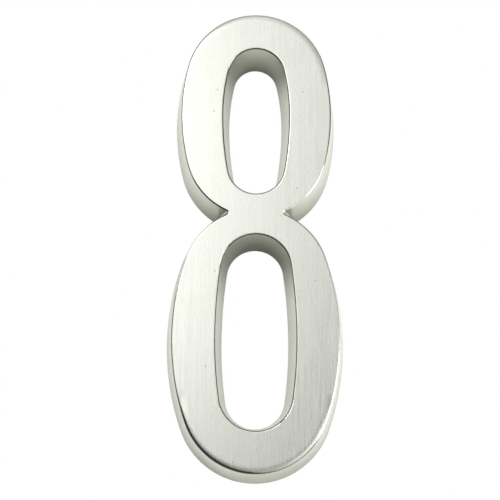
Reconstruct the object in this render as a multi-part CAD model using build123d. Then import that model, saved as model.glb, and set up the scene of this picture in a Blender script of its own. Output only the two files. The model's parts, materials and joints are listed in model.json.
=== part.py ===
from build123d import *
import os
from math import atan2, degrees, radians, tan

# House number, the figure 8: one solid casting, face towards -Y, back on the plane Y = 0.
# Outline sizes are in mm and are measured on the flat face, where the figure is smallest.
upper_bowl_width = 24.0
upper_bowl_height = 33.4
lower_bowl_width = 26.6
lower_bowl_height = 42.05
bowl_overlap = 1.45  # how far the two bowls run into each other at the waist

# A bow is how far a side swells past a straight-sided slot with the same end radius.
upper_bowl_bow = 0.7
lower_bowl_bow = 1.6
upper_counter_bow = 0.75
lower_counter_head_bow = 0.8
lower_counter_foot_bow = 0.6

# Strokes lie between a bowl's outline and its counter.
top_stroke = 5.7
upper_side_stroke = 6.7
upper_waist_stroke = 3.85
lower_waist_stroke = 4.2
lower_side_stroke = 6.9
bottom_stroke = 6.7

# Section
depth = 10.0
draft_angle = 5.7  # every wall leans out towards the back by this, in degrees
face_edge_radius = 0.3
valley_radius = 0.3
back_edge_chamfer = 0.15

# Blind tapped holes for two wall studs, in the middle of the top and bottom strokes
stud_hole_diameter = 4.0
stud_hole_mouth = 0.4  # width of the countersink round each hole
stud_hole_cover = 2.3  # metal left between a hole's drilled point and the face
drill_point_angle = 118.0

# Heights above the bottom of the face
face_height = lower_bowl_height + upper_bowl_height - bowl_overlap
lower_bowl_middle = lower_bowl_height / 2
lower_counter_top = lower_bowl_height - lower_waist_stroke
upper_bowl_bottom = face_height - upper_bowl_height
upper_bowl_middle = face_height - upper_bowl_height / 2
upper_counter_bottom = upper_bowl_bottom + upper_waist_stroke
upper_counter_top = face_height - top_stroke
bottom_stud_height = bottom_stroke / 2
top_stud_height = face_height - top_stroke / 2
origin_height = (bottom_stud_height + top_stud_height) / 2  # the part's origin is midway between the studs

face_plane = Plane.XZ.offset(depth)


def half_oval(half_width, height, bow):
    # Three tangent arcs, from (half_width, 0) over (0, height) to (-half_width, 0)
    end_radius = half_width - bow
    end_centre = height - end_radius
    side_radius = (half_width**2 + end_centre**2 - end_radius**2) / (2 * bow)
    side_centre = side_radius - half_width
    turn = degrees(atan2(end_centre, side_centre))
    right_side = CenterArc((-side_centre, 0), side_radius, 0, turn)
    end = CenterArc((0, end_centre), end_radius, turn, 180 - 2 * turn)
    left_side = CenterArc((side_centre, 0), side_radius, 180 - turn, turn)
    return [right_side, end, left_side]


def oval(width, bottom, middle, top, foot_bow, head_bow):
    # Closed oval on the face plane, widest at the height given as middle
    upper_half = half_oval(width / 2, top - middle, head_bow)
    lower_half = mirror(half_oval(width / 2, middle - bottom, foot_bow), about=Plane.XZ)
    outline = make_face(upper_half + lower_half.edges())
    return face_plane * Pos(0, middle - origin_height) * outline


def drafted(outline, angle):
    # Block from the face to the back, with its walls turned about the face outline
    block = extrude(outline, amount=depth, dir=(0, 1, 0))
    walls = block.faces().filter_by(Axis.Y, reverse=True)
    return draft(walls, face_plane, angle)


def stud_hole(height):
    # Drilled and countersunk hole in the back, as a solid to cut away
    radius = stud_hole_diameter / 2
    point_depth = depth - stud_hole_cover
    wall_depth = point_depth - radius / tan(radians(drill_point_angle / 2))
    corners = [
        (0, 0),
        (radius + stud_hole_mouth, 0),
        (radius, -stud_hole_mouth),
        (radius, -wall_depth),
        (0, -point_depth),
    ]
    section = make_face(Polyline(corners, close=True))
    return Pos(0, 0, height - origin_height) * revolve(section, Axis.Y)


# The two bowls meet in a valley at each side of the waist.
upper_bowl = oval(
    upper_bowl_width, upper_bowl_bottom, upper_bowl_middle, face_height, upper_bowl_bow, upper_bowl_bow
)
lower_bowl = oval(lower_bowl_width, 0, lower_bowl_middle, lower_bowl_height, lower_bowl_bow, lower_bowl_bow)
numeral = drafted(upper_bowl, draft_angle) + drafted(lower_bowl, draft_angle)
valleys = numeral.edges().filter_by(lambda edge: edge.is_interior)
numeral = fillet(valleys, valley_radius)

# The counters narrow towards the back by the same draft.
upper_counter_width = upper_bowl_width - 2 * upper_side_stroke
lower_counter_width = lower_bowl_width - 2 * lower_side_stroke
upper_counter = oval(
    upper_counter_width,
    upper_counter_bottom,
    upper_bowl_middle,
    upper_counter_top,
    upper_counter_bow,
    upper_counter_bow,
)
lower_counter = oval(
    lower_counter_width,
    bottom_stroke,
    lower_bowl_middle,
    lower_counter_top,
    lower_counter_foot_bow,
    lower_counter_head_bow,
)
numeral -= drafted(upper_counter, -draft_angle)
numeral -= drafted(lower_counter, -draft_angle)

# Every edge of the face is rounded, and every edge of the back is broken.
numeral = fillet(numeral.faces().sort_by(Axis.Y)[0].edges(), face_edge_radius)
numeral = chamfer(numeral.faces().sort_by(Axis.Y)[-1].edges(), back_edge_chamfer)

for stud_height in (bottom_stud_height, top_stud_height):
    numeral -= stud_hole(stud_height)

os.makedirs("parts", exist_ok=True)
export_step(numeral, "parts/numeral.step")
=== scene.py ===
import json
import math

import bmesh
import bpy
from mathutils import Matrix, Vector


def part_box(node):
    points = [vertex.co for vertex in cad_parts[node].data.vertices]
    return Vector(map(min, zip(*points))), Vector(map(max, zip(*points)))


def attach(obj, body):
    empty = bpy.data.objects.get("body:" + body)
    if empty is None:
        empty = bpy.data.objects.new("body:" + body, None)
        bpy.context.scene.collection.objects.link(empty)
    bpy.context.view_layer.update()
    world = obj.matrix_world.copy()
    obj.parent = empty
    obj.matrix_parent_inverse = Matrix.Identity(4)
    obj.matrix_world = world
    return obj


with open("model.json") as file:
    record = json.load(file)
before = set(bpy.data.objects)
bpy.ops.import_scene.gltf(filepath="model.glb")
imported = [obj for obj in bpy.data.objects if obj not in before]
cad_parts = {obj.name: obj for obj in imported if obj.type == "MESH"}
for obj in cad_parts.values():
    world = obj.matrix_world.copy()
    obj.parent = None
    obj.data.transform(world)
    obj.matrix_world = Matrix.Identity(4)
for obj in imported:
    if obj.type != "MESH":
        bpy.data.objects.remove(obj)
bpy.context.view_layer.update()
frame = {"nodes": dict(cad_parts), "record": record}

mm = 0.001
scene = bpy.context.scene
scene.view_settings.view_transform = "Standard"
numeral = frame["nodes"]["numeral"]
low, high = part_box("numeral")
faceY, backY = low.y / mm, high.y / mm  # mm; the brushed face looks towards -Y, the back lies on the wall
studs = next(mount["dims"] for mount in frame["record"]["mounts"] if mount["name"] == "stud_holes")
studRadius, studHeight = studs["hole_r_mm"], studs["spacing_y_mm"] / 2  # mm, above and below the origin
print("frame loaded:", [round(side / mm, 2) for side in high - low], "mm")


def linearColour(hexText):
    channels = [int(hexText[i:i + 2], 16) / 255 for i in (1, 3, 5)]
    return [c / 12.92 if c <= 0.04045 else ((c + 0.055) / 1.055) ** 2.4 for c in channels] + [1.0]


def addNode(tree, kind, settings={}, inputs={}):
    # Each input is a plain value or an output of another node
    node = tree.nodes.new(kind)
    for name, value in settings.items():
        setattr(node, name, value)
    for socket, value in inputs.items():
        if isinstance(value, bpy.types.NodeSocket):
            tree.links.new(value, node.inputs[socket])
        else:
            node.inputs[socket].default_value = value
    return node


def newMaterial(name):
    material = bpy.data.materials.new(name)
    material.use_nodes = True
    material.node_tree.nodes.clear()
    return material, material.node_tree


# Satin nickel plate on a zinc casting. The face was brushed upright on a belt, so it spreads light sideways,
# shows soft streaks, has a few casting pits and rolls off a little at both ends. The walls keep the smoother
# satin of the casting, with painted shade darkening them towards the back. Along the sharp edges the colour
# carries painted shade, with painted highlights in some places and a darker painted shadow at the left of the
# foot; the shoulder below each valley and the back rim get painted shade too. The back is left as cast: duller,
# uneven and mottled.
nickel = {
    "faceColour": "#E2E3DB", "pitColour": "#B4B5AC",
    "wallColour": "#C3C4B7", "wallBackColour": "#A6A699",   # the walls at the face, and darker at the back as painted shade
    # Painted shade: the edge, foot, valley and rim colours darken the edges, the left of the foot, the shoulder
    # below each valley and the back rim
    "edgeColour": "#94948A", "burntColour": "#42423B", "valleyColour": "#5C5C52",
    "rimColour": "#86857B", "backColour": "#C6C6BC", "drilledColour": "#D6D6D2",
    "faceRoughness": 0.28, "wallRoughness": 0.17, "backRoughness": 0.42,
    "rollRoughness": 0.15,                       # the belt burnished the face where it rolls off
    "brushSpread": 0.3,                          # anisotropy across the brush lines

    # Where each finish or painted shade lies, in mm behind the face or in front of the back, from none to full
    "faceDepth": (0.04, 0.012), "edgeDepth": (0.30, 0.16), "drilledDepth": (1.0, 1.5),
    "rimDepth": (0.30, 0.20), "backDepth": (0.03, 0.005),
    "wallDepth": (0.5, 0.3),                     # mm from the face and from the back, where the walls' shading ends
    "drilledReach": (0.5, 0.3),                  # mm outside the stud holes' radius

    # Brush marks and cast grain: sizes and depths in mm
    "lineSize": (0.2, 6.0),                      # wide and long, drawn coarser than the real 0.05 mm to show
    "streakSize": (0.5, 30.0),
    "lineDepth": 0.0003, "streakDepth": 0.0012,
    "lineGloss": 0.17, "streakGloss": 0.13,      # how far the marks change the roughness
    "cloudSize": 3.5, "cloudShare": 0.015,       # faint unevenness of the plate's colour
    "grainSize": 0.35, "grainDepth": 0.002,      # soft unevenness of the walls
    "castSize": 1.6, "castDepth": 0.04,          # the back as it left the die
    "castShare": 0.08, "castGloss": 0.08,        # how far it changes the back's colour and roughness
    "pitSpacing": 11.0, "pitRadius": 0.2, "pitDepth": 0.008, "pitFloor": 0.3,  # the floor is a share of the radius

    # The painted shade on the shoulder below each valley, in mm: where the valley's line starts, how it leans out
    # with depth
    "valleyPlace": (4.0, 4.1), "valleyLean": 0.234,
    "valleyOuter": (2.4, 1.2), "valleyInner": (-1.0, -0.5),  # outwards from that line
    "valleyTop": (0.1, -0.2), "valleyFoot": (-3.4, -2.6),    # upwards from its start

    # Roll-off at the face's two end arcs, in mm: height of the centre, radius
    "footArc": (-25.55, 11.7), "headArc": (25.45, 11.3),
    "rollWidth": 1.1, "rollDrop": 0.14,
    "rollRise": (-1.0, 5.0),                     # beyond the arc's centre, from none to full
    "burntRise": (-22.0, -29.0), "burntSide": (9.0, -1.0),   # mm up and across
    "burntFace": (0.60, 0.76),                   # where the painted shade at the foot is this strong, it runs onto the face

    # Painted highlights and painted shade on the edges: colour, then an oval's middle and half sizes in mm
    "edgePatches": (
        ("#D8D8D0", (13.0, -17.0), (6.5, 19.0)),
        ("#E0E1D9", (-9.0, 0.6), (3.2, 3.2)),
        ("#E0E1D9", (-12.0, -4.0), (3.5, 5.5)),
        ("#E0E1D9", (7.5, 7.0), (4.2, 4.5)),
        ("#3E3E38", (-7.0, 6.8), (4.5, 4.5)),
        ("#5E5E56", (0.0, -1.5), (7.0, 5.5)),
        ("#5E5E56", (11.0, 22.0), (5.0, 10.0)),
        ("#66665E", (-5.5, 19.0), (2.6, 11.0)),
        ("#66665E", (-6.4, -15.0), (2.6, 15.0)),
        ("#60605A", (0.0, 31.0), (6.0, 4.0)),
    ),
    "patchCore": 0.6,                            # share of each oval that has the full colour
}


def satinNickel():
    material, tree = newMaterial("satinNickelBrushed")
    coords = addNode(tree, "ShaderNodeTexCoord").outputs["Object"]
    inMm = addNode(tree, "ShaderNodeMapping", {}, {"Vector": coords, "Scale": (1 / mm,) * 3}).outputs[0]
    place = addNode(tree, "ShaderNodeSeparateXYZ", {}, {0: inMm}).outputs
    noiseLow, noiseHigh = 0.3, 0.7  # most of a noise pattern lies between these

    # Masks by depth
    wallFront, wallBack = faceY + nickel["wallDepth"][0], backY - nickel["wallDepth"][1]
    masks = {}
    for name, (start, end) in {
        "face": [faceY + depth for depth in nickel["faceDepth"]],
        "edge": [faceY + depth for depth in nickel["edgeDepth"]],
        "inside": [faceY + depth for depth in nickel["drilledDepth"]],
        # painted contact shadow along the back rim
        "rim": [backY - depth for depth in nickel["rimDepth"]],
        "back": [backY - depth for depth in nickel["backDepth"]],
        # painted shade: the walls darken towards the back
        "deep": [wallFront, wallBack],
        "front": [wallBack, wallFront],
    }.items():
        masks[name] = addNode(
            tree, "ShaderNodeMapRange", {}, {"Value": place["Y"], "From Min": start, "From Max": end},
        ).outputs[0]

    # Painted shade on the shoulder below each valley: how far out from the valley's line, and only just below it
    valleyOut, valleyUp = nickel["valleyPlace"]
    width = addNode(tree, "ShaderNodeMath", {"operation": "ABSOLUTE"}, {0: place["X"]}).outputs[0]
    lean = addNode(
        tree, "ShaderNodeMath", {"operation": "MULTIPLY_ADD"},
        {0: place["Y"], 1: nickel["valleyLean"], 2: valleyOut - nickel["valleyLean"] * faceY},
    ).outputs[0]
    out = addNode(tree, "ShaderNodeMath", {"operation": "SUBTRACT"}, {0: width, 1: lean}).outputs[0]
    valley = 1.0
    for source, offset, (start, end) in (
        (out, 0.0, nickel["valleyOuter"]), (out, 0.0, nickel["valleyInner"]),
        (place["Z"], valleyUp, nickel["valleyTop"]), (place["Z"], valleyUp, nickel["valleyFoot"]),
    ):
        step = addNode(
            tree, "ShaderNodeMapRange", {}, {"Value": source, "From Min": offset + start, "From Max": offset + end},
        ).outputs[0]
        valley = addNode(tree, "ShaderNodeMath", {"operation": "MULTIPLY"}, {0: step, 1: valley}).outputs[0]
    masks["valley"] = valley

    # The drilled stud holes, bare metal inside
    fromMiddle = addNode(tree, "ShaderNodeMath", {"operation": "ABSOLUTE"}, {0: place["Z"]}).outputs[0]
    fromStud = addNode(tree, "ShaderNodeMath", {"operation": "SUBTRACT"}, {0: fromMiddle, 1: studHeight}).outputs[0]
    holeSection = addNode(tree, "ShaderNodeCombineXYZ", {}, {"X": place["X"], "Y": fromStud}).outputs[0]
    fromAxis = addNode(tree, "ShaderNodeVectorMath", {"operation": "LENGTH"}, {0: holeSection}).outputs["Value"]
    start, end = [studRadius + reach for reach in nickel["drilledReach"]]
    inHole = addNode(
        tree, "ShaderNodeMapRange", {}, {"Value": fromAxis, "From Min": start, "From Max": end},
    ).outputs[0]
    masks["drilled"] = addNode(
        tree, "ShaderNodeMath", {"operation": "MULTIPLY"}, {0: inHole, 1: masks["inside"]},
    ).outputs[0]

    # Noise patterns, each stretched to its size in mm
    lineWide, lineLong = nickel["lineSize"]
    streakWide, streakLong = nickel["streakSize"]
    patterns = {}
    for name, scale, detail in (
        ("lines", (1 / lineWide, 0, 1 / lineLong), 2),
        ("streaks", (1 / streakWide, 0, 1 / streakLong), 3),
        ("clouds", (1 / nickel["cloudSize"],) * 3, 2),
        ("grain", (1 / nickel["grainSize"],) * 3, 2),
        ("cast", (1 / nickel["castSize"],) * 3, 4),
    ):
        stretched = addNode(tree, "ShaderNodeMapping", {}, {"Vector": inMm, "Scale": scale}).outputs[0]
        patterns[name] = addNode(
            tree, "ShaderNodeTexNoise", {}, {"Vector": stretched, "Scale": 1.0, "Detail": detail},
        ).outputs["Fac"]

    # Pits: one small soft dot in each cell of a flat Voronoi pattern
    flat = addNode(
        tree, "ShaderNodeMapping", {},
        {"Vector": inMm, "Rotation": (math.pi / 2, 0, 0), "Scale": (1 / nickel["pitSpacing"],) * 3},
    ).outputs[0]
    cells = addNode(
        tree, "ShaderNodeTexVoronoi", {"voronoi_dimensions": "2D"}, {"Vector": flat, "Scale": 1.0},
    ).outputs["Distance"]
    pitEdge = nickel["pitRadius"] / nickel["pitSpacing"]
    pits = addNode(
        tree, "ShaderNodeMapRange", {"interpolation_type": "SMOOTHSTEP"},
        {"Value": cells, "From Min": pitEdge, "From Max": pitEdge * nickel["pitFloor"]},
    ).outputs[0]

    # Roll-off where the belt ran over the face's two ends
    roll = 0.0
    nearEnd = {}
    for end, way in (("footArc", -1), ("headArc", 1)):
        centre, radius = nickel[end]
        fromCentre = addNode(
            tree, "ShaderNodeMapping", {}, {"Vector": inMm, "Location": (0, 0, -centre), "Scale": (1, 0, 1)},
        ).outputs[0]
        reach = addNode(tree, "ShaderNodeVectorMath", {"operation": "LENGTH"}, {0: fromCentre}).outputs["Value"]
        nearEnd[end] = addNode(
            tree, "ShaderNodeMapRange", {},
            {"Value": reach, "From Min": radius - nickel["rollWidth"], "From Max": radius},
        ).outputs[0]
        start, full = [centre + way * rise for rise in nickel["rollRise"]]
        beyond = addNode(
            tree, "ShaderNodeMapRange", {}, {"Value": place["Z"], "From Min": start, "From Max": full},
        ).outputs[0]
        curve = addNode(
            tree, "ShaderNodeMath", {"operation": "MULTIPLY"}, {0: nearEnd[end], 1: nearEnd[end]},
        ).outputs[0]
        roll = addNode(
            tree, "ShaderNodeMath", {"operation": "MULTIPLY_ADD"}, {0: curve, 1: beyond, 2: roll},
        ).outputs[0]

    # Painted shade on the rim of the foot, most on its left
    footShade = nearEnd["footArc"]
    for axis, (start, end) in (("Z", nickel["burntRise"]), ("X", nickel["burntSide"])):
        step = addNode(
            tree, "ShaderNodeMapRange", {}, {"Value": place[axis], "From Min": start, "From Max": end},
        ).outputs[0]
        footShade = addNode(tree, "ShaderNodeMath", {"operation": "MULTIPLY"}, {0: footShade, 1: step}).outputs[0]
    start, end = nickel["burntFace"]
    burntFace = addNode(
        tree, "ShaderNodeMapRange", {}, {"Value": footShade, "From Min": start, "From Max": end},
    ).outputs[0]

    # Heights in mm: brush marks and pits on the face, grain on the walls and the back, roll-off past the edges
    faceHeight = 0.0
    for pattern, depth in (
        (patterns["lines"], nickel["lineDepth"]),
        (patterns["streaks"], nickel["streakDepth"]),
        (pits, -nickel["pitDepth"]),
    ):
        faceHeight = addNode(
            tree, "ShaderNodeMath", {"operation": "MULTIPLY_ADD"}, {0: pattern, 1: depth, 2: faceHeight},
        ).outputs[0]
    wallHeight = addNode(
        tree, "ShaderNodeMath", {"operation": "MULTIPLY"}, {0: patterns["grain"], 1: nickel["grainDepth"]},
    ).outputs[0]
    backHeight = addNode(
        tree, "ShaderNodeMath", {"operation": "MULTIPLY"}, {0: patterns["cast"], 1: nickel["castDepth"]},
    ).outputs[0]
    height = wallHeight
    for mask, finish in (("back", backHeight), ("face", faceHeight)):
        height = addNode(
            tree, "ShaderNodeMix", {"data_type": "FLOAT"}, {"Factor": masks[mask], "A": height, "B": finish},
        ).outputs["Result"]
    rollDepth = addNode(
        tree, "ShaderNodeMath", {"operation": "MULTIPLY"}, {0: masks["front"], 1: -nickel["rollDrop"]},
    ).outputs[0]
    height = addNode(
        tree, "ShaderNodeMath", {"operation": "MULTIPLY_ADD"}, {0: roll, 1: rollDepth, 2: height},
    ).outputs[0]
    bump = addNode(tree, "ShaderNodeBump", {}, {"Height": height, "Strength": 1.0, "Distance": mm}).outputs[0]

    # Colours of the edges, the face and the walls, then laid over each other from the walls outwards
    burntColour = linearColour(nickel["burntColour"])
    # Painted shade on the edges, with the foot's painted shade and the ovals' painted highlights and shade laid
    # over it
    paintedEdges = addNode(
        tree, "ShaderNodeMix", {"data_type": "RGBA"},
        {"Factor": footShade, "A": linearColour(nickel["edgeColour"]), "B": burntColour},
    ).outputs["Result"]
    for shade, (midX, midZ), (halfX, halfZ) in nickel["edgePatches"]:
        inOval = addNode(
            tree, "ShaderNodeMapping", {},
            {
                "Vector": inMm, "Location": (-midX / halfX, 0, -midZ / halfZ),
                "Scale": (1 / halfX, 0, 1 / halfZ),
            },
        ).outputs[0]
        reach = addNode(tree, "ShaderNodeVectorMath", {"operation": "LENGTH"}, {0: inOval}).outputs["Value"]
        patch = addNode(
            tree, "ShaderNodeMapRange", {}, {"Value": reach, "From Min": 1.0, "From Max": nickel["patchCore"]},
        ).outputs[0]
        paintedEdges = addNode(
            tree, "ShaderNodeMix", {"data_type": "RGBA"}, {"Factor": patch, "A": paintedEdges, "B": linearColour(shade)},
        ).outputs["Result"]
    brushed = linearColour(nickel["faceColour"])
    for mask, shade in ((pits, linearColour(nickel["pitColour"])), (burntFace, burntColour)):
        brushed = addNode(
            tree, "ShaderNodeMix", {"data_type": "RGBA"}, {"Factor": mask, "A": brushed, "B": shade},
        ).outputs["Result"]
    colour = linearColour(nickel["wallColour"])
    for mask, shade in (
        ("deep", linearColour(nickel["wallBackColour"])),
        ("valley", linearColour(nickel["valleyColour"])),
        ("edge", paintedEdges),
        ("rim", linearColour(nickel["rimColour"])),
        ("back", linearColour(nickel["backColour"])),
        ("drilled", linearColour(nickel["drilledColour"])),
        ("face", brushed),
    ):
        colour = addNode(
            tree, "ShaderNodeMix", {"data_type": "RGBA"}, {"Factor": masks[mask], "A": colour, "B": shade},
        ).outputs["Result"]
    tones = {}
    for name, share in (("clouds", nickel["cloudShare"]), ("cast", nickel["castShare"])):
        tones[name] = addNode(
            tree, "ShaderNodeMapRange", {},
            {
                "Value": patterns[name], "From Min": noiseLow, "From Max": noiseHigh,
                "To Min": 1 - share, "To Max": 1 + share,
            },
        ).outputs[0]
    uneven = addNode(
        tree, "ShaderNodeMix", {"data_type": "FLOAT"},
        {"Factor": masks["back"], "A": tones["clouds"], "B": tones["cast"]},
    ).outputs["Result"]
    colour = addNode(
        tree, "ShaderNodeVectorMath", {"operation": "SCALE"}, {0: colour, "Scale": uneven},
    ).outputs[0]

    # Gloss: brush marks on the face, burnished where it rolls off, dull and uneven on the back
    gloss = nickel["faceRoughness"] - (nickel["lineGloss"] + nickel["streakGloss"]) / 2
    for pattern, share in ((patterns["lines"], nickel["lineGloss"]), (patterns["streaks"], nickel["streakGloss"])):
        gloss = addNode(
            tree, "ShaderNodeMath", {"operation": "MULTIPLY_ADD"}, {0: pattern, 1: share, 2: gloss},
        ).outputs[0]
    gloss = addNode(
        tree, "ShaderNodeMix", {"data_type": "FLOAT"}, {"Factor": roll, "A": gloss, "B": nickel["rollRoughness"]},
    ).outputs["Result"]
    dull = addNode(
        tree, "ShaderNodeMapRange", {},
        {
            "Value": patterns["cast"], "From Min": noiseLow, "From Max": noiseHigh,
            "To Min": nickel["backRoughness"] + nickel["castGloss"],
            "To Max": nickel["backRoughness"] - nickel["castGloss"],
        },
    ).outputs[0]
    rough = nickel["wallRoughness"]
    for mask, finish in (("back", dull), ("face", gloss)):
        rough = addNode(
            tree, "ShaderNodeMix", {"data_type": "FLOAT"}, {"Factor": masks[mask], "A": rough, "B": finish},
        ).outputs["Result"]
    sideways = addNode(tree, "ShaderNodeCombineXYZ", {}, {"X": 1.0}).outputs[0]
    shader = addNode(
        tree, "ShaderNodeBsdfPrincipled", {},
        {
            "Metallic": 1.0, "Anisotropic": nickel["brushSpread"],
            "Base Color": colour, "Roughness": rough, "Normal": bump, "Tangent": sideways,
        },
    )
    addNode(tree, "ShaderNodeOutputMaterial", {}, {"Surface": shader.outputs[0]})
    return material


numeral.data.materials.clear()
numeral.data.materials.append(satinNickel())
print("numeral dressed")


# M4 thread in each blind stud hole: a ridge of 60 degree section wound inside the drilled wall
thread = {
    "pitch": 0.7, "turns": 7.5, "start": 0.75,  # mm, the first turn's depth below the back
    "crestRadius": 1.65, "ridgeSide": 0.62,     # mm
    "segments": 40,                             # a turn
    "sharpAngle": 40.0,                         # degrees, past which an edge stays sharp
    "cutColour": "#C6C7C4", "cutRoughness": 0.32,
    "tapMark": 0.05, "tapStretch": 12.0,        # mm wide, and how much longer the tap's marks are along the ridge
    "tapGloss": 0.12, "tapDepth": 0.01, "tapStrength": 0.3,  # change of roughness, mm, share of the bump
}


def cutZinc():
    # Bare zinc cut by a tap: bright grey metal with fine marks along the cut
    material, tree = newMaterial("tappedZinc")
    coords = addNode(tree, "ShaderNodeTexCoord").outputs["Object"]
    fine = 1 / (thread["tapMark"] * mm)
    along = fine / thread["tapStretch"]
    stretched = addNode(tree, "ShaderNodeMapping", {}, {"Vector": coords, "Scale": (along, fine, along)}).outputs[0]
    marks = addNode(
        tree, "ShaderNodeTexNoise", {}, {"Vector": stretched, "Scale": 1.0, "Detail": 2},
    ).outputs["Fac"]
    rough = addNode(
        tree, "ShaderNodeMapRange", {},
        {
            "Value": marks,
            "To Min": thread["cutRoughness"] - thread["tapGloss"],
            "To Max": thread["cutRoughness"] + thread["tapGloss"],
        },
    ).outputs[0]
    bump = addNode(
        tree, "ShaderNodeBump", {},
        {"Height": marks, "Strength": thread["tapStrength"], "Distance": thread["tapDepth"] * mm},
    ).outputs[0]
    shader = addNode(
        tree, "ShaderNodeBsdfPrincipled", {},
        {
            "Metallic": 1.0, "Base Color": linearColour(thread["cutColour"]),
            "Roughness": rough, "Normal": bump,
        },
    )
    addNode(tree, "ShaderNodeOutputMaterial", {}, {"Surface": shader.outputs[0]})
    return material


def studThreads():
    tree = bpy.data.node_groups.new("studThreads", "GeometryNodeTree")
    tree.interface.new_socket("Threads", in_out="OUTPUT", socket_type="NodeSocketGeometry")
    ridgeRadius = thread["ridgeSide"] / math.sqrt(3)
    sizes = {
        "Pitch": thread["pitch"] * mm,
        "Turns": thread["turns"],
        "Helix Radius": (thread["crestRadius"] + ridgeRadius) * mm,
        "Ridge Radius": ridgeRadius * mm,
        "Start Depth": thread["start"] * mm,
        "Hole Spacing": studs["spacing_y_mm"] * mm,
    }
    keys = {
        name: tree.interface.new_socket(name, in_out="INPUT", socket_type="NodeSocketFloat").identifier
        for name in sizes
    }
    given = addNode(tree, "NodeGroupInput").outputs

    # One ridge: a triangle swept along a helix, laid into the hole from the back
    length = addNode(
        tree, "ShaderNodeMath", {"operation": "MULTIPLY"}, {0: given["Pitch"], 1: given["Turns"]},
    ).outputs[0]
    helix = addNode(
        tree, "GeometryNodeCurveSpiral", {},
        {
            "Resolution": thread["segments"], "Rotations": given["Turns"], "Height": length,
            "Start Radius": given["Helix Radius"], "End Radius": given["Helix Radius"],
        },
    ).outputs[0]
    helix = addNode(tree, "GeometryNodeSetCurveNormal", {"mode": "Z_UP"}, {"Curve": helix}).outputs[0]
    section = addNode(
        tree, "GeometryNodeCurvePrimitiveCircle", {"mode": "RADIUS"},
        {"Resolution": 3, "Radius": given["Ridge Radius"]},
    ).outputs[0]
    ridge = addNode(
        tree, "GeometryNodeCurveToMesh", {}, {"Curve": helix, "Profile Curve": section, "Fill Caps": True},
    ).outputs[0]
    into = addNode(
        tree, "ShaderNodeMath", {"operation": "MULTIPLY"}, {0: given["Start Depth"], 1: -1.0},
    ).outputs[0]
    seat = addNode(tree, "ShaderNodeCombineXYZ", {}, {"Y": into}).outputs[0]
    ridge = addNode(
        tree, "GeometryNodeTransform", {},
        {"Geometry": ridge, "Translation": seat, "Rotation": (math.pi / 2, 0, 0)},
    ).outputs[0]

    # One ridge in each hole
    half = addNode(
        tree, "ShaderNodeMath", {"operation": "MULTIPLY"}, {0: given["Hole Spacing"], 1: -0.5},
    ).outputs[0]
    first = addNode(tree, "ShaderNodeCombineXYZ", {}, {"Z": half}).outputs[0]
    step = addNode(tree, "ShaderNodeCombineXYZ", {}, {"Z": given["Hole Spacing"]}).outputs[0]
    holes = addNode(
        tree, "GeometryNodeMeshLine", {"mode": "OFFSET"},
        {"Count": studs["count"], "Start Location": first, "Offset": step},
    ).outputs[0]
    placed = addNode(tree, "GeometryNodeInstanceOnPoints", {}, {"Points": holes, "Instance": ridge}).outputs[0]
    solid = addNode(tree, "GeometryNodeRealizeInstances", {}, {"Geometry": placed}).outputs[0]
    solid = addNode(tree, "GeometryNodeSetMaterial", {}, {"Geometry": solid, "Material": cutZinc()}).outputs[0]
    addNode(tree, "NodeGroupOutput", {}, {0: solid})

    piece = bpy.data.objects.new("studThreads", bpy.data.meshes.new("studThreads"))
    scene.collection.objects.link(piece)
    modifier = piece.modifiers.new("threads", "NODES")
    modifier.node_group = tree
    for name, value in sizes.items():
        modifier[keys[name]] = value
    made = piece.evaluated_get(bpy.context.evaluated_depsgraph_get())
    mesh = bpy.data.meshes.new_from_object(made)
    piece.modifiers.clear()
    piece.data = mesh
    mesh.shade_smooth()
    mesh.set_sharp_from_angle(angle=math.radians(thread["sharpAngle"]))
    return piece


threads = studThreads()
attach(threads, "root")
print("threads cut:", len(threads.data.polygons), "faces")


# Studio: a pale floor, a white backdrop far behind, and a white paper panel right behind the figure, cut away
# where the figure stands so that its back and holes are lit too. The panel and the grey cards only show in
# reflections.
studio = {
    "floorColour": "#E4E4E2", "floorHeight": -0.35, "floorHalf": 2.0,        # m
    "backdropDistance": 0.6, "backdropHalf": 1.0, "backdropTop": 1.2,        # m
    "backdropLevel": 1.0, "worldLevel": 0.5,
    "panelHalf": 0.08, "panelGap": 0.1 * mm,                                 # m
    "panelColour": "#F8F8F4", "bandColour": "#E0E0DC",                       # painted shade behind the waist
    "bandHeight": -2.5, "bandReach": (2.0, 8.0),                             # mm, its middle, and from full to none
    "studClear": 0.8,                                                        # mm left open round each stud hole
}


def mattePaint(name, colour):
    material, tree = newMaterial(name)
    shader = addNode(tree, "ShaderNodeBsdfDiffuse", {}, {"Color": linearColour(colour)})
    addNode(tree, "ShaderNodeOutputMaterial", {}, {"Surface": shader.outputs[0]})
    return material


# White paper with a band of painted shade behind the figure's waist
def shadeBandedPaper():
    material, tree = newMaterial("wallPaper")
    coords = addNode(tree, "ShaderNodeTexCoord").outputs["Object"]
    upright = addNode(tree, "ShaderNodeSeparateXYZ", {}, {0: coords}).outputs["Z"]
    fromBand = addNode(
        tree, "ShaderNodeMath", {"operation": "SUBTRACT"}, {0: upright, 1: studio["bandHeight"] * mm},
    ).outputs[0]
    fromBand = addNode(tree, "ShaderNodeMath", {"operation": "ABSOLUTE"}, {0: fromBand}).outputs[0]
    full, none = [reach * mm for reach in studio["bandReach"]]
    clear = addNode(
        tree, "ShaderNodeMapRange", {"interpolation_type": "SMOOTHSTEP"},
        {"Value": fromBand, "From Min": full, "From Max": none},
    ).outputs[0]
    colour = addNode(
        tree, "ShaderNodeMix", {"data_type": "RGBA"},
        {"Factor": clear, "A": linearColour(studio["bandColour"]), "B": linearColour(studio["panelColour"])},
    ).outputs["Result"]
    shader = addNode(tree, "ShaderNodeBsdfDiffuse", {}, {"Color": colour})
    addNode(tree, "ShaderNodeOutputMaterial", {}, {"Surface": shader.outputs[0]})
    return material


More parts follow.
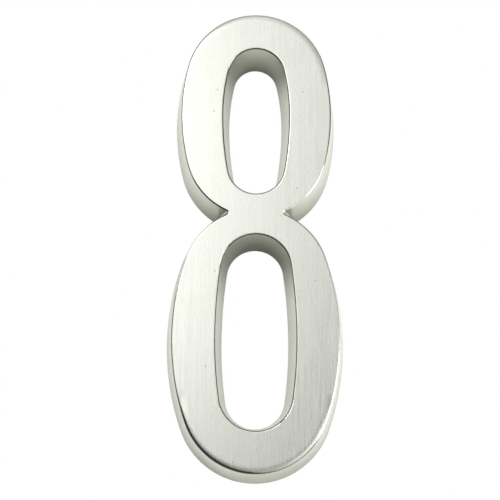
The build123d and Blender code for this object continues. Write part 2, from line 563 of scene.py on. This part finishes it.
def evenGlow(name, level):
    material, tree = newMaterial(name)
    shader = addNode(tree, "ShaderNodeEmission", {}, {"Strength": level})
    addNode(tree, "ShaderNodeOutputMaterial", {}, {"Surface": shader.outputs[0]})
    return material


def stagePiece(name, mesh, material, seen=True):
    mesh.materials.append(material)
    piece = bpy.data.objects.new(name, mesh)
    piece.visible_camera = seen
    scene.collection.objects.link(piece)
    return piece


def plate(name, corners):
    mesh = bpy.data.meshes.new(name)
    mesh.from_pydata([Vector(c) for c in corners], [], [(0, 1, 2, 3)])
    return mesh


def roundStud(edge):
    middle = (edge.verts[0].co + edge.verts[1].co) / 2 / mm
    return math.hypot(middle.x, abs(middle.z) - studHeight) < studRadius + studio["studClear"]


def panelMesh(name):
    # A flat sheet with the figure's outline cut out of it and the counters filled
    weld, flatness = 0.001 * mm, 0.01 * mm
    sheet = bmesh.new()
    sheet.from_mesh(numeral.data)
    bmesh.ops.remove_doubles(sheet, verts=sheet.verts, dist=weld)
    edge = backY * mm - flatness
    keep = {f for f in sheet.faces if all(v.co.y > edge for v in f.verts)}
    bmesh.ops.delete(sheet, geom=[f for f in sheet.faces if f not in keep], context="FACES")
    rim = {e for e in sheet.edges if e.is_boundary and not roundStud(e)}
    bmesh.ops.delete(sheet, geom=sheet.faces[:], context="FACES_ONLY")
    bmesh.ops.delete(sheet, geom=[e for e in sheet.edges if e not in rim], context="EDGES")
    half = studio["panelHalf"]
    outside = [(-half, -half), (half, -half), (half, half), (-half, half)]
    corners = [sheet.verts.new((x, backY * mm, z)) for x, z in outside]
    for i in range(4):
        sheet.edges.new((corners[i - 1], corners[i]))
    bmesh.ops.triangle_fill(sheet, use_beauty=True, edges=sheet.edges[:])
    bmesh.ops.translate(sheet, verts=sheet.verts, vec=(0, studio["panelGap"], 0))
    mesh = bpy.data.meshes.new(name)
    sheet.to_mesh(mesh)
    sheet.free()
    return mesh


half, z = studio["floorHalf"], studio["floorHeight"]
floorCorners = [(-half, -half, z), (half, -half, z), (half, half, z), (-half, half, z)]
stagePiece("floor", plate("floor", floorCorners), mattePaint("floorPaint", studio["floorColour"]))
half, y, top = studio["backdropHalf"], studio["backdropDistance"], studio["backdropTop"]
backdropCorners = [(-half, y, z), (half, y, z), (half, y, top), (-half, y, top)]
stagePiece("backdrop", plate("backdrop", backdropCorners), evenGlow("whiteBackdrop", studio["backdropLevel"]))
stagePiece("wall", panelMesh("wall"), shadeBandedPaper(), seen=False)

# Grey cards, corners in m: two in front, low left and right, and a paler one below
cards = {
    "cardNear": {
        "level": 0.06,
        "corners": [(-0.166, -0.80, -0.078), (-0.23, -0.24, -0.04), (-0.04, -0.24, -0.15), (-0.04, -0.80, -0.15)],
    },
    "cardRight": {
        "level": 0.06,
        "corners": [(0.035, -0.50, -0.095), (0.144, -0.48, -0.095), (0.145, -0.486, 0.045), (0.035, -0.505, 0.045)],
    },
    "cardFar": {
        "level": 0.3,
        "corners": [(-0.23, -0.24, -0.04), (-0.26, -0.08, -0.023), (0.055, -0.08, -0.205), (0.055, -0.24, -0.205)],
    },
}
for name, card in cards.items():
    piece = stagePiece(name, plate(name, card["corners"]), evenGlow(name, card["level"]), seen=False)
    piece.visible_shadow = False
    piece.visible_diffuse = False

world = bpy.data.worlds.new("studioAir")
world.use_nodes = True
world.node_tree.nodes.clear()
air = addNode(
    world.node_tree, "ShaderNodeBackground", {}, {"Color": (1, 1, 1, 1), "Strength": studio["worldLevel"]},
)
addNode(world.node_tree, "ShaderNodeOutputWorld", {}, {"Surface": air.outputs[0]})
scene.world = world

# Softboxes, places and sizes in m and power in W, all aimed at the figure. The paper lamp lights only the white
# panel and doesn't show in the metal.
aim = Vector((0, -0.01, 0))  # m
lamps = {
    "key": {"place": (-0.076, -0.467, 0.189), "size": (0.14, 0.14), "power": 0.049},
    "keyLeft": {"place": (-0.144, -0.467, 0.144), "size": (0.14, 0.14), "power": 0.062},
    "keyRight": {"place": (0.07, -0.467, 0.191), "size": (0.14, 0.14), "power": 0.015},
    "front": {"place": (-0.074, -0.499, 0.074), "size": (0.14, 0.14), "power": 0.074},
    "frontLeft": {"place": (-0.104, -0.499, 0.0), "size": (0.14, 0.14), "power": 0.025},
    "left": {"place": (-0.208, -0.415, 0.208), "size": (0.16, 0.16), "power": 0.322},
    "top": {"place": (0.0, -0.415, 0.294), "size": (0.16, 0.16), "power": 0.032},
    "rightNear": {"place": (0.293, -0.415, -0.026), "size": (0.16, 0.16), "power": 0.201},
    "rightLow": {"place": (0.206, -0.456, -0.096), "size": (0.18, 0.22), "power": 0.137},
    "right": {"place": (0.456, -0.181, -0.114), "size": (0.24, 0.24), "power": 1.267},
    "paper": {"place": (0.0, -0.48, 0.171), "size": (0.16, 0.16), "power": 1.029, "inMetal": False},
}
for name, lamp in lamps.items():
    data = bpy.data.lights.new(name, "AREA")
    data.shape = "RECTANGLE"
    data.size, data.size_y = lamp["size"]
    data.energy = lamp["power"]
    light = bpy.data.objects.new(name, data)
    light.location = lamp["place"]
    light.rotation_mode = "QUATERNION"
    light.rotation_quaternion = (aim - light.location).to_track_quat("-Z", "Y")
    light.visible_camera = False
    light.visible_glossy = lamp.get("inMetal", True)
    scene.collection.objects.link(light)
print("studio lit")


# Camera, fitted to the outline of the figure in the photograph
cameraFit = {
    "place": (-4.358, -293.23, -52.78),         # mm
    "turn": 0.69, "tilt": 10.17, "roll": 0.15,  # degrees: to the right, upwards, anticlockwise
    "lens": 130.88, "sensor": 36.0,             # mm, the sensor's width
    "clip": (0.01, 20.0),                       # m
}
cameraData = bpy.data.cameras.new("camera")
cameraData.sensor_width = cameraFit["sensor"]
cameraData.lens = cameraFit["lens"]
cameraData.clip_start, cameraData.clip_end = cameraFit["clip"]
camera = bpy.data.objects.new("camera", cameraData)
turn, tilt, roll = [math.radians(cameraFit[name]) for name in ("turn", "tilt", "roll")]
camera.matrix_world = (
    Matrix.Translation(Vector(cameraFit["place"]) * mm)
    @ Matrix.Rotation(-turn, 4, "Z")
    @ Matrix.Rotation(math.pi / 2 + tilt, 4, "X")
    @ Matrix.Rotation(roll, 4, "Z")
)
scene.collection.objects.link(camera)
scene.camera = camera
print("camera set")
